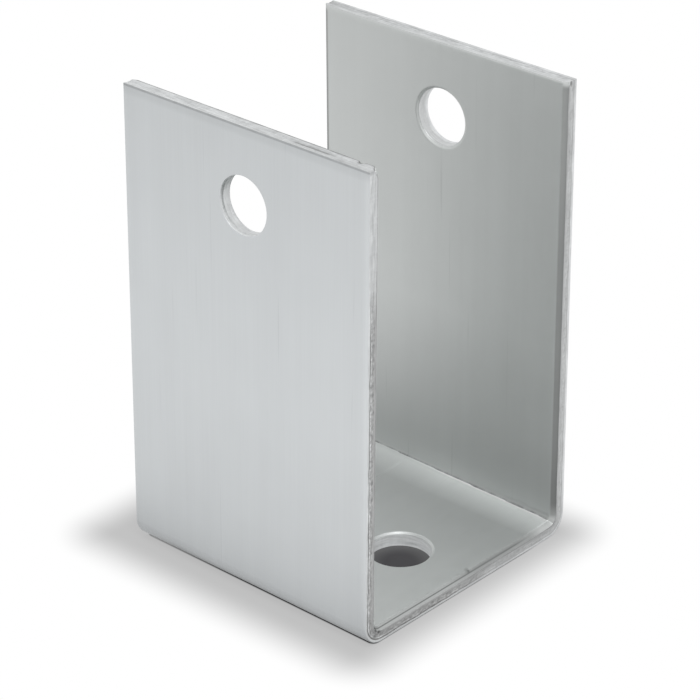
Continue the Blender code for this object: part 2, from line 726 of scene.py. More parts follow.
@dataclass
class FoldingTree:
    """The Geometry Nodes tree that wears the cut edges and folds the blank.

    Attributes:
        sizes: sizes of the strip.
        dents: the knocks that it gets.
        press_length: length of base beside a bend that the tool pressed up a little.
        press_height: how much thicker the sheet is left there, beside the +X bend's +Y end.
        press_low: the same beside its -Y end.
        crease_shade_reach: height of the painted shade in the crease above the pressed metal.
        tear_depth: how far the torn metal lies back at its deepest.
        tear_scale: coarseness of the torn metal, in noise cells for each metre.
        tear_wander: how far the tear's border wanders.
        tear_rise: how much nearer to the inner face the tear lies on the flanges.
        seed: seed of the torn metal.
    """

    sizes: StripSizes
    dents: list[Dent]
    press_length: float = 0.0042
    press_height: float = 0.00062
    press_low: float = 0.00025
    crease_shade_reach: float = 0.00025
    tear_depth: float = 0.00006
    tear_scale: float = 3000.0
    tear_wander: float = 0.0004
    tear_rise: float = 0.00008
    seed: int = 4

    HAIR = 0.00001

    def build(self) -> tuple["FieldTree", dict[str, object]]:
        """Makes the tree.

        Returns:
            The tree and the value of each of its named inputs.
        """
        tree = FieldTree("fold_strip")
        values = {
            "Bend Start": self.sizes.bend_start,
            "Bend Length": self.sizes.bend_length,
            "Fold Angle": self.sizes.fold_angle,
            "Outside Radius": self.sizes.outside_radius,
            "Thickness": self.sizes.thickness,
            "Press Length": self.press_length,
            "Press Height": self.press_height,
            "Press Low": self.press_low,
            "Half Width": self.sizes.width / 2,
            "Crease Shade Reach": self.crease_shade_reach,
            "Tear Depth": self.tear_depth,
            "Tear Scale": self.tear_scale,
            "Tear Wander": self.tear_wander,
            "Tear Rise": self.tear_rise,
            "Seed": float(self.seed),
        }
        for name in values:
            tree.input(name, "NodeSocketFloat")
        for name in FINISH_NAMES:
            tree.input(name, "NodeSocketMaterial")
        strip = self._keep_flat_place(tree, tree.entry.outputs["Blank"])
        strip = self._wander(tree, strip)
        strip = self._tear(tree, strip)
        scar = 0.0
        for number, dent in enumerate(self.dents, 1):
            strip, scar = self._dent(tree, strip, scar, number)
            for part, value in (("Place", dent.place), ("Reach", dent.reach), ("Push", dent.push)):
                values[f"Dent {number} {part}"] = value
            values[f"Dent {number} Mark"] = dent.mark
        strip = self._store(tree, strip, "scar", scar)
        strip = self._fold(tree, strip)
        self._dress(tree, strip)
        return tree, values

    def _store(
        self, tree: "FieldTree", strip: bpy.types.NodeSocket, name: str, value: object
    ) -> bpy.types.NodeSocket:
        """Stores a number on each point for the materials."""
        store = tree.node("GeometryNodeStoreNamedAttribute", data_type="FLOAT", domain="POINT")
        tree.wire(name, store.inputs["Name"])
        tree.wire(value, store.inputs["Value"])
        tree.wire(strip, store.inputs["Geometry"])
        return store.outputs["Geometry"]

    def _moved(
        self, tree: "FieldTree", strip: bpy.types.NodeSocket, offset: bpy.types.NodeSocket
    ) -> bpy.types.NodeSocket:
        """Moves each point by an offset."""
        move = tree.node("GeometryNodeSetPosition")
        tree.wire(strip, move.inputs["Geometry"])
        tree.wire(offset, move.inputs["Offset"])
        return move.outputs["Geometry"]

    def _keep_flat_place(self, tree: "FieldTree", strip: bpy.types.NodeSocket) -> bpy.types.NodeSocket:
        """Stores each point's place on the flat blank, so that the grain follows the folds."""
        store = tree.node("GeometryNodeStoreNamedAttribute", data_type="FLOAT_VECTOR", domain="POINT")
        tree.wire("flat_place", store.inputs["Name"])
        tree.wire(tree.position(), store.inputs["Value"])
        tree.wire(strip, store.inputs["Geometry"])
        return store.outputs["Geometry"]

    def _wander(self, tree: "FieldTree", strip: bpy.types.NodeSocket) -> bpy.types.NodeSocket:
        """Lets the border of the tear wander through the sheet, and lie higher on the flanges."""
        given = tree.entry.outputs
        flange = tree.rise(tree.distance(), given["Bend Start"], tree.maths("ADD", given["Bend Start"], 0.004))
        swing = tree.maths("SUBTRACT", tree.noise(350.0, 2.0), 0.5)
        shift = tree.maths("MULTIPLY", swing, given["Tear Wander"])
        shift = tree.maths("MULTIPLY_ADD", flange, given["Tear Rise"], shift)
        lift = tree.node("ShaderNodeCombineXYZ")
        tree.wire(tree.maths("MULTIPLY", shift, tree.attribute("slide")), lift.inputs["Z"])
        return self._moved(tree, strip, lift.outputs[0])

    def _tear(self, tree: "FieldTree", strip: bpy.types.NodeSocket) -> bpy.types.NodeSocket:
        """Moves the torn metal back by seeded noise."""
        swing = tree.maths("SUBTRACT", tree.noise(tree.entry.outputs["Tear Scale"], 3.0), 0.72)
        swing = tree.maths("MINIMUM", tree.maths("MULTIPLY", swing, 2.0), 0.0)
        depth = tree.maths("MULTIPLY", tree.entry.outputs["Tear Depth"], tree.attribute("torn"))
        normal = tree.node("GeometryNodeInputNormal").outputs[0]
        return self._moved(tree, strip, tree.vector("SCALE", normal, tree.maths("MULTIPLY", swing, depth)))

    def _dent(
        self, tree: "FieldTree", strip: bpy.types.NodeSocket, scar: object, number: int
    ) -> tuple[bpy.types.NodeSocket, bpy.types.NodeSocket]:
        """Adds one knock, with a ragged border, and adds its mark to the scar."""
        place, reach, push = (
            tree.input(f"Dent {number} {part}", "NodeSocketVector") for part in ("Place", "Reach", "Push")
        )
        mark = tree.input(f"Dent {number} Mark", "NodeSocketFloat")
        away = tree.vector("DIVIDE", tree.vector("SUBTRACT", tree.position(), place), reach)
        ragged = tree.maths("SUBTRACT", tree.noise(2200.0, 2.0), 0.5)
        far = tree.maths("ADD", tree.length(away), ragged)
        share = tree.rise(far, 1.0, 0.35)
        strip = self._moved(tree, strip, tree.vector("SCALE", push, share))
        return strip, tree.maths("MAXIMUM", scar, tree.maths("MULTIPLY", share, mark))

    def _folded(
        self, tree: "FieldTree", level: bpy.types.NodeSocket
    ) -> tuple[bpy.types.NodeSocket, bpy.types.NodeSocket]:
        """Gives the place that the folds bring a level of the flat strip to.

        Args:
            tree: the tree.
            level: height of the level above the outer face.

        Returns:
            The distance out from the bracket's middle, and the height.
        """
        given = tree.entry.outputs
        past_base = tree.maths("SUBTRACT", tree.distance(), given["Bend Start"])
        share = tree.maths("DIVIDE", past_base, given["Bend Length"])
        share = tree.maths("MINIMUM", tree.maths("MAXIMUM", share, 0.0), 1.0)
        angle = tree.maths("MULTIPLY", share, given["Fold Angle"])
        flange = tree.maths("MAXIMUM", tree.maths("SUBTRACT", past_base, given["Bend Length"]), 0.0)
        base = tree.maths("MINIMUM", tree.distance(), given["Bend Start"])
        radius = tree.maths("SUBTRACT", given["Outside Radius"], level)
        sine, cosine = tree.maths("SINE", angle), tree.maths("COSINE", angle)
        out = tree.maths("MULTIPLY_ADD", radius, sine, base)
        out = tree.maths("MULTIPLY_ADD", flange, cosine, out)
        rise = tree.maths("SUBTRACT", given["Outside Radius"], tree.maths("MULTIPLY", radius, cosine))
        return out, tree.maths("MULTIPLY_ADD", flange, sine, rise)

    def _fold(self, tree: "FieldTree", strip: bpy.types.NodeSocket) -> bpy.types.NodeSocket:
        """Folds the flat strip, and leaves the metal that the tool pressed up beside the +X fold."""
        given = tree.entry.outputs
        place = tree.parts(tree.position())
        right = tree.maths("GREATER_THAN", place["X"], 0.0)
        inside_out, inside_rise = self._folded(tree, given["Thickness"])
        start = tree.maths("SUBTRACT", given["Bend Start"], given["Press Length"])
        wall = tree.maths("ADD", given["Bend Start"], given["Outside Radius"])
        wall = tree.maths("SUBTRACT", wall, given["Thickness"])
        share = tree.maths("MULTIPLY", tree.rise(inside_out, start, wall, "LINEAR"), right)
        side = tree.maths("DIVIDE", place["Y"], given["Half Width"])
        side = tree.maths("MULTIPLY_ADD", side, 0.5, 0.5)
        height = tree.maths("SUBTRACT", given["Press Height"], given["Press Low"])
        height = tree.maths("MULTIPLY_ADD", side, height, given["Press Low"])
        ramp = tree.maths("MULTIPLY", tree.maths("MULTIPLY", share, share), height)
        ramp = tree.maths("ADD", ramp, given["Thickness"])
        over = tree.maths("SUBTRACT", ramp, inside_rise)
        covered = tree.maths("GREATER_THAN", over, -self.HAIR)
        strip = self._store(tree, strip, "pressed", tree.maths("MULTIPLY", share, covered))
        # Where the painted crease shade goes, just above the pressed metal on the +X fold.
        above = tree.maths("DIVIDE", tree.maths("SUBTRACT", 0.0, over), given["Crease Shade Reach"])
        crease = tree.maths("MAXIMUM", tree.maths("SUBTRACT", 1.0, above), 0.0)
        crease = tree.maths("MULTIPLY", crease, tree.maths("SUBTRACT", 1.0, covered))
        strip = self._store(tree, strip, "crease", tree.maths("MULTIPLY", crease, right))

        out, rise = self._folded(tree, place["Z"])
        depth = tree.maths("POWER", tree.maths("DIVIDE", place["Z"], given["Thickness"]), 2.0)
        rise = tree.maths("MULTIPLY_ADD", tree.maths("MAXIMUM", over, 0.0), depth, rise)
        folded = tree.node("ShaderNodeCombineXYZ")
        tree.wire(tree.maths("MULTIPLY", out, tree.maths("SIGN", place["X"])), folded.inputs["X"])
        tree.wire(place["Y"], folded.inputs["Y"])
        tree.wire(rise, folded.inputs["Z"])
        move = tree.node("GeometryNodeSetPosition")
        tree.wire(strip, move.inputs["Geometry"])
        tree.wire(folded.outputs[0], move.inputs["Position"])
        return move.outputs["Geometry"]

    def _dress(self, tree: "FieldTree", strip: bpy.types.NodeSocket) -> None:
        """Shades the strip smooth and gives each kind of surface its material."""
        smooth = tree.node("GeometryNodeSetShadeSmooth")
        tree.wire(strip, smooth.inputs["Geometry"])
        real = tree.node("GeometryNodeRealizeInstances")
        tree.wire(smooth.outputs["Geometry"], real.inputs["Geometry"])
        level = tree.parts(tree.attribute("flat_place", "FLOAT_VECTOR"))["Z"]
        inside = tree.maths("GREATER_THAN", level, tree.maths("MULTIPLY", tree.entry.outputs["Thickness"], 0.5))
        cut = tree.maths("GREATER_THAN", tree.attribute("torn"), ShearedSection.SMOOTH / 2)
        strip = real.outputs["Geometry"]
        for name, where in zip(FINISH_NAMES, (True, inside, cut)):
            dress = tree.node("GeometryNodeSetMaterial")
            tree.wire(strip, dress.inputs["Geometry"])
            tree.wire(where, dress.inputs["Selection"])
            tree.wire(tree.entry.outputs[name], dress.inputs["Material"])
            strip = dress.outputs["Geometry"]
        tree.wire(strip, tree.exit.inputs["Strip"])


class ShaderTree:
    """A material under construction around its Principled BSDF."""

    def __init__(self, name: str) -> None:
        """Starts a material with only a Principled BSDF and its output."""
        self.material = bpy.data.materials.new(name)
        self.material.use_nodes = True
        self.nodes = self.material.node_tree.nodes
        self.shader = self.nodes["Principled BSDF"]

    def node(self, kind: str, **settings: object) -> bpy.types.Node:
        """Adds a node of a kind, with properties to set on it, and returns it."""
        made = self.nodes.new(kind)
        for key, value in settings.items():
            setattr(made, key, value)
        return made

    def attribute(self, name: str) -> bpy.types.Node:
        """Returns a node that reads an attribute of the mesh."""
        return self.node("ShaderNodeAttribute", attribute_name=name)

    def parts(self, vector: bpy.types.NodeSocket) -> bpy.types.NodeOutputs:
        """Returns the three parts of a vector, by name."""
        made = self.node("ShaderNodeSeparateXYZ")
        self.wire(vector, made.inputs[0])
        return made.outputs

    def mixed(self, share: object, first: object, second: object) -> bpy.types.NodeSocket:
        """Returns a mix of two colours, given as sockets or tones."""
        made = self.node("ShaderNodeMix", data_type="RGBA")
        self.wire(share, made.inputs["Factor"])
        for colour, socket in ((first, made.inputs["A"]), (second, made.inputs["B"])):
            self.wire((*colour, 1.0) if isinstance(colour, tuple) else colour, socket)
        return made.outputs["Result"]

    def between(self, share: object, first: object, second: object) -> bpy.types.NodeSocket:
        """Returns a mix of two values, given as sockets or numbers."""
        made = self.node("ShaderNodeMix")
        self.wire(share, made.inputs["Factor"])
        self.wire(first, made.inputs["A"])
        self.wire(second, made.inputs["B"])
        return made.outputs["Result"]

    def tinted(self, colour: object, value: bpy.types.NodeSocket) -> bpy.types.NodeSocket:
        """Returns a colour, given as a socket or a tone, made lighter or darker by a factor."""
        made = self.node("ShaderNodeVectorMath", operation="SCALE")
        self.wire(colour, made.inputs["Vector"])
        self.wire(value, made.inputs["Scale"])
        return made.outputs["Vector"]

    def bump(self, height: bpy.types.NodeSocket, strength: float, distance: float) -> bpy.types.NodeSocket:
        """Returns the surface's direction, changed by a height."""
        made = self.node("ShaderNodeBump")
        self.wire(height, made.inputs["Height"])
        self.wire(strength, made.inputs["Strength"])
        self.wire(distance, made.inputs["Distance"])
        return made.outputs["Normal"]

    def wire(self, source: object, target: bpy.types.NodeSocket) -> None:
        """Feeds a socket from another socket or from a plain value."""
        if isinstance(source, bpy.types.NodeSocket):
            self.material.node_tree.links.new(source, target)
        else:
            target.default_value = source

    def vector(self, operation: str, *terms: object) -> bpy.types.NodeSocket:
        """Adds a vector maths node and returns its vector, or its value where it gives one."""
        made = self.node("ShaderNodeVectorMath", operation=operation)
        for term, socket in zip(terms, made.inputs):
            self.wire(term, socket)
        return made.outputs["Value" if operation in ("LENGTH", "DOT_PRODUCT") else "Vector"]

    def maths(self, operation: str, *terms: object) -> bpy.types.NodeSocket:
        """Adds a maths node and returns its value."""
        made = self.node("ShaderNodeMath", operation=operation)
        for term, socket in zip(terms, made.inputs):
            self.wire(term, socket)
        return made.outputs[0]

    def ramp(self, value: bpy.types.NodeSocket, low: float, high: float) -> bpy.types.NodeSocket:
        """Adds a soft rise from 0 to 1 between two values and returns its socket."""
        rise = self.node("ShaderNodeMapRange", interpolation_type="SMOOTHSTEP")
        self.wire(value, rise.inputs["Value"])
        self.wire(low, rise.inputs["From Min"])
        self.wire(high, rise.inputs["From Max"])
        return rise.outputs["Result"]

    def curve(self, value: bpy.types.NodeSocket, stops: tuple[Stop, ...]) -> bpy.types.NodeSocket:
        """Returns a value that goes from stop to stop, each given as a place from 0 to 1 and its value."""
        made = self.node("ShaderNodeValToRGB")
        self.wire(value, made.inputs["Fac"])
        elements = made.color_ramp.elements
        for element in elements[1:]:
            elements.remove(element)
        for number, (place, level) in enumerate(stops):
            element = elements.new(place) if number else elements[0]
            element.position = place
            element.color = (level, level, level, 1.0)
        return made.outputs["Color"]

    def seen(self) -> bpy.types.NodeSocket:
        """Returns a socket that is 1 where the camera or a shiny surface looks at this one."""
        path = self.node("ShaderNodeLightPath")
        shiny = self.maths("MAXIMUM", path.outputs["Is Glossy Ray"], path.outputs["Is Transmission Ray"])
        return self.maths("MAXIMUM", path.outputs["Is Camera Ray"], shiny)

    def noise(self, place: bpy.types.NodeSocket, stretch: Point, detail: float) -> bpy.types.NodeSocket:
        """Adds noise that is stretched along an axis.

        Args:
            place: coordinates to read it at.
            stretch: noise cells for each metre along each axis.
            detail: octaves of finer noise.

        Returns:
            The noise's value socket, from 0 to 1.
        """
        scaled = self.node("ShaderNodeMapping")
        self.wire(place, scaled.inputs["Vector"])
        self.wire(stretch, scaled.inputs["Scale"])
        noise = self.node("ShaderNodeTexNoise")
        self.wire(scaled.outputs[0], noise.inputs["Vector"])
        self.wire(1.0, noise.inputs["Scale"])
        self.wire(detail, noise.inputs["Detail"])
        return noise.outputs[0]

    def spread(self, value: bpy.types.NodeSocket, low: float, high: float) -> bpy.types.NodeSocket:
        """Maps a noise value's usual range onto low to high and returns the new socket."""
        mapped = self.node("ShaderNodeMapRange")
        self.wire(value, mapped.inputs["Value"])
        self.wire(0.25, mapped.inputs["From Min"])
        self.wire(0.75, mapped.inputs["From Max"])
        self.wire(low, mapped.inputs["To Min"])
        self.wire(high, mapped.inputs["To Max"])
        return mapped.outputs["Result"]


@dataclass(frozen=True)
class RolledSteel:
    """A face of cold-rolled stainless sheet.

    Attributes:
        name: name of the material.
        grain: how the face was finished.
        tone: base colour.
        roughness: middle roughness.
        pressed_highlight: strength of the painted highlight on the metal that the folding tool pressed.
    """

    name: str
    grain: Grain
    tone: Point
    roughness: float
    pressed_highlight: float = 0.37

    GRAIN_CELLS = {Grain.BRUSHED: (45.0, 5200.0, 45.0), Grain.MILL: (700.0, 1900.0, 700.0)}
    GRAIN_SWING = {Grain.BRUSHED: 0.05, Grain.MILL: 0.03}
    # Factors of the painted light and shade over the rolled edge, with the base's dark painted line.
    BASE_ROLL = ((0.0, 1.0), (0.3, 0.74), (0.48, 0.74), (0.56, 0.35), (0.66, 0.35), (0.74, 0.74), (1.0, 0.74))
    SOFT_ROLL = ((0.0, 0.96), (0.2, 0.65), (0.45, 0.48), (0.58, 0.33), (0.66, 0.35), (0.76, 0.56), (1.0, 0.6))
    PLAIN_ROLL = ((0.0, 1.0), (0.15, 0.8), (0.5, 0.6), (1.0, 0.58))
    FLANGE_ROLL = ((0.0, 1.0), (0.08, 0.9), (0.3, 0.56), (1.0, 0.45))
    FLANGE_SHADE = {
        Grain.BRUSHED: ((0.0, 1.03), (0.05, 0.99), (0.15, 0.965), (0.45, 1.03), (0.7, 1.01), (1.0, 0.95)),
        Grain.MILL: ((0.0, 0.79), (0.08, 0.83), (0.2, 0.97), (0.42, 1.1), (0.7, 1.02), (1.0, 0.95)),
    }
    TONE_SPAN = 1.25
    FOOT = (0.3, 0.05)
    FOOT_SHADE_DEPTH = {Grain.BRUSHED: 0.0, Grain.MILL: 0.08}
    RIM = (0.93, 0.965)
    RIM_SLANT = 0.058
    SIDE_SHADE = 0.022
    CORNER_FLAT = ((0.0022, 0.0047), (-0.0008, -0.0038))
    CORNER_TONE = 0.87
    UNDER_BEND = (0.85, 0.45)
    UNDER_SHADE_DEPTH = 0.38
    LINE_SOFTENS = (-0.005, 0.004)
    LINE_FADES = (0.0095, 0.0135)
    ROLL_SHADE = ((0.0, 1.1), (0.12, 0.88), (0.33, 0.78), (0.6, 0.83), (0.87, 1.08), (1.0, 1.1))

    def material(self, sizes: StripSizes) -> bpy.types.Material:
        """Makes the material, with its grain along the strip as it was rolled.

        Args:
            sizes: sizes of the strip, whose edges are worn.

        Returns:
            The material.
        """
        tree = ShaderTree(self.name)
        flat = tree.attribute("flat_place").outputs["Vector"]
        grain = tree.noise(flat, self.GRAIN_CELLS[self.grain], 4.0)
        streak = tree.noise(flat, (7.0, 420.0, 7.0), 3.0)
        mottle = tree.noise(flat, (85.0, 110.0, 85.0), 3.0)
        worn = self._worn(tree, flat, sizes)
        scratch = self._scratches(tree, flat)
        scar = tree.attribute("scar").outputs["Fac"]

        swing = self.GRAIN_SWING[self.grain]
        value = tree.spread(grain, 1 - swing / 2, 1 + swing / 2)
        value = tree.maths("MULTIPLY", value, tree.spread(streak, 0.985, 1.015))
        value = tree.maths("MULTIPLY", value, tree.spread(mottle, 0.985, 1.015))
        value = tree.maths("MULTIPLY_ADD", scratch, -0.035, value)
        value = tree.maths("MULTIPLY_ADD", worn, 0.01, value)
        # Painted highlight where the folding tool pressed the metal.
        value = tree.maths("MULTIPLY_ADD", self._pressed_highlight(tree, flat, sizes), self.pressed_highlight, value)
        # Painted shade in the crease.
        value = tree.maths("MULTIPLY_ADD", self._crease_shade(tree, flat), -0.75, value)
        value = tree.maths("MULTIPLY_ADD", scar, -0.5, value)
        # Painted light and shade over the rolled edge.
        value = tree.maths("MULTIPLY", value, self._rolled(tree, flat, sizes))
        # Painted light and shade up the flanges.
        value = tree.maths("MULTIPLY", value, self._flange_shade(tree, flat, sizes))
        # Painted shade, darker towards the +Y side.
        across = tree.maths("DIVIDE", tree.parts(flat)["Y"], sizes.width / 2)
        value = tree.maths("MULTIPLY", value, tree.maths("MULTIPLY_ADD", across, -self.SIDE_SHADE, 1.0))
        # Painted shade beside the top edges and round the undersides of the bends.
        if self.grain is Grain.BRUSHED:
            value = tree.maths("MULTIPLY", value, self._end_shade(tree, flat, sizes))
            value = tree.maths("MULTIPLY", value, self._under_shade(tree, flat, sizes))
        tree.wire(tree.tinted(self.tone, value), tree.shader.inputs["Base Color"])
        tree.wire(1.0, tree.shader.inputs["Metallic"])

        rough = tree.spread(grain, self.roughness - swing, self.roughness + swing)
        rough = tree.maths("MULTIPLY_ADD", worn, -0.04, rough)
        rough = tree.maths("MULTIPLY_ADD", scratch, 0.12, rough)
        tree.wire(rough, tree.shader.inputs["Roughness"])
        height = tree.maths("MULTIPLY_ADD", scratch, -1.5, grain)
        tree.wire(tree.bump(height, 0.12, 0.000006), tree.shader.inputs["Normal"])
        return tree.material

    def _worn(self, tree: "ShaderTree", flat: bpy.types.NodeSocket, sizes: StripSizes) -> bpy.types.NodeSocket:
        """Marks the metal close to the cut edges, where handling has polished it unevenly."""
        half = (sizes.half_length, sizes.width / 2, 1.0)
        inside = tree.parts(tree.vector("SUBTRACT", half, tree.vector("ABSOLUTE", flat)))
        nearest = tree.maths("MINIMUM", inside["X"], inside["Y"])
        ragged = tree.spread(tree.noise(flat, (900.0, 900.0, 900.0), 3.0), -0.0003, 0.0003)
        return tree.ramp(tree.maths("ADD", nearest, ragged), 0.0009, 0.0002)

    def _end_distance(
        self, tree: "ShaderTree", flat: bpy.types.NodeSocket, sizes: StripSizes
    ) -> bpy.types.NodeSocket:
        """Returns the distance to the strip's nearer end."""
        return tree.maths("SUBTRACT", sizes.half_length, tree.maths("ABSOLUTE", tree.parts(flat)["X"]))

    def _rolled(self, tree: "ShaderTree", flat: bpy.types.NodeSocket, sizes: StripSizes) -> bpy.types.NodeSocket:
        """Gives the painted light and shade over the rolled edge, darker on the flanges and with a dark painted line
        on the base.
        """
        roll = tree.attribute("roll").outputs["Fac"]
        along = tree.parts(flat)["X"]
        soft = tree.ramp(along, *self.LINE_SOFTENS)
        base = tree.between(soft, tree.curve(roll, self.BASE_ROLL), tree.curve(roll, self.SOFT_ROLL))
        base = tree.between(tree.ramp(along, *self.LINE_FADES), base, tree.curve(roll, self.PLAIN_ROLL))
        away = tree.maths("SUBTRACT", tree.maths("ABSOLUTE", along), sizes.bend_start)
        stops = tuple((place, tone / self.TONE_SPAN) for place, tone in self.ROLL_SHADE)
        shade = tree.curve(tree.maths("DIVIDE", away, sizes.half_length - sizes.bend_start), stops)
        shade = tree.maths("MULTIPLY", shade, self.TONE_SPAN)
        shade = tree.between(tree.ramp(roll, 0.0, 0.3), 1.0, shade)
        flange = tree.maths("MULTIPLY", tree.curve(roll, self.FLANGE_ROLL), shade)
        tone = tree.between(tree.ramp(away, 0.0, sizes.bend_length), base, flange)
        flattened = tree.maths("MAXIMUM", *(tree.ramp(away, *reach) for reach in self.CORNER_FLAT))
        left = tree.ramp(along, 0.004, 0.0)
        corner = tree.between(tree.ramp(roll, 0.0, 0.5), 1.0, self.CORNER_TONE)
        tone = tree.between(tree.maths("MAXIMUM", flattened, left), corner, tone)
        beside = tree.ramp(self._end_distance(tree, flat, sizes), 0.0003, 0.0009)
        return tree.between(beside, 1.0, tone)

    def _flange_shade(
        self, tree: "ShaderTree", flat: bpy.types.NodeSocket, sizes: StripSizes
    ) -> bpy.types.NodeSocket:
        """Gives the painted light and shade up a flange, from its fold to its top edge, with painted shade at the
        foot of its -Y side.
        """
        away = tree.maths("SUBTRACT", tree.maths("ABSOLUTE", tree.parts(flat)["X"]), sizes.bend_start)
        share = tree.maths("DIVIDE", away, sizes.half_length - sizes.bend_start)
        stops = tuple((place, tone / self.TONE_SPAN) for place, tone in self.FLANGE_SHADE[self.grain])
        tone = tree.maths("MULTIPLY", tree.curve(share, stops), self.TONE_SPAN)
        side = tree.ramp(tree.parts(flat)["Y"], 0.0, -0.35 * sizes.width)
        foot = tree.maths("MULTIPLY", tree.ramp(share, *self.FOOT), side)
        tone = tree.maths("MULTIPLY", tone, tree.maths("MULTIPLY_ADD", foot, -self.FOOT_SHADE_DEPTH[self.grain], 1.0))
        return tree.between(tree.ramp(away, 0.0, sizes.bend_length), 1.0, tone)

    def _end_shade(self, tree: "ShaderTree", flat: bpy.types.NodeSocket, sizes: StripSizes) -> bpy.types.NodeSocket:
        """Gives the painted shade beside a top edge, uneven over its corner and softly darker towards it."""
        away = self._end_distance(tree, flat, sizes)
        uneven = tree.spread(tree.noise(flat, (300.0, 700.0, 300.0), 3.0), 0.7, 1.2)
        corner = tree.maths("MULTIPLY", tree.ramp(away, 0.0003, 0.00015), uneven)
        near = tree.node("ShaderNodeMapRange")
        tree.wire(away, near.inputs["Value"])
        tree.wire(0.0014, near.inputs["From Min"])
        tree.wire(0.0002, near.inputs["From Max"])
        shade = tree.maths("MULTIPLY_ADD", near.outputs["Result"], -0.14, 1.0)
        return tree.maths("MULTIPLY_ADD", corner, -0.25, shade)

    def _under_shade(self, tree: "ShaderTree", flat: bpy.types.NodeSocket, sizes: StripSizes) -> bpy.types.NodeSocket:
        """Gives the painted shade round the outside of a bend, where it turns under the base."""
        away = tree.maths("SUBTRACT", tree.maths("ABSOLUTE", tree.parts(flat)["X"]), sizes.bend_start)
        turned = tree.ramp(away, *(share * sizes.bend_length for share in self.UNDER_BEND))
        side = tree.ramp(tree.parts(flat)["Y"], sizes.width * 0.5, sizes.width * 0.3)
        return tree.maths("MULTIPLY_ADD", tree.maths("MULTIPLY", turned, side), -self.UNDER_SHADE_DEPTH, 1.0)

    def _pressed_highlight(self, tree: "ShaderTree", flat: bpy.types.NodeSocket, sizes: StripSizes) -> bpy.types.NodeSocket:
        """Gives the painted highlight on the metal that the folding tool pressed, stronger towards the -Y side, with
        a brighter painted line at its rim.
        """
        half = sizes.width / 2
        side = tree.ramp(tree.parts(flat)["Y"], half, -half)
        pressed = tree.attribute("pressed").outputs["Fac"]
        rim = tree.ramp(tree.maths("MULTIPLY_ADD", side, self.RIM_SLANT, pressed), *self.RIM)
        shine = tree.maths("MULTIPLY", rim, tree.ramp(side, 0.2, 0.7))
        tone = tree.maths("MULTIPLY", pressed, tree.maths("MULTIPLY_ADD", side, 0.98, 0.95))
        tone = tree.maths("MULTIPLY_ADD", shine, 1.1, tone)
        roll = tree.attribute("roll").outputs["Fac"]
        return tree.maths("MULTIPLY", tone, tree.ramp(roll, 0.3, 0.0))

    def _crease_shade(self, tree: "ShaderTree", flat: bpy.types.NodeSocket) -> bpy.types.NodeSocket:
        """Marks the painted shade line in the crease above the pressed metal, uneven along the fold."""
        uneven = tree.spread(tree.noise(flat, (200.0, 900.0, 200.0), 3.0), 0.3, 1.3)
        return tree.maths("MULTIPLY", tree.attribute("crease").outputs["Fac"], uneven)

    def _scratches(self, tree: "ShaderTree", flat: bpy.types.NodeSocket) -> bpy.types.NodeSocket:
        """Marks a few fine scratches along the strip."""
        lines = tree.ramp(tree.noise(flat, (22.0, 1500.0, 22.0), 1.0), 0.68, 0.74)
        patches = tree.ramp(tree.noise(flat, (60.0, 160.0, 60.0), 1.0), 0.45, 0.6)
        return tree.maths("MULTIPLY", lines, patches)


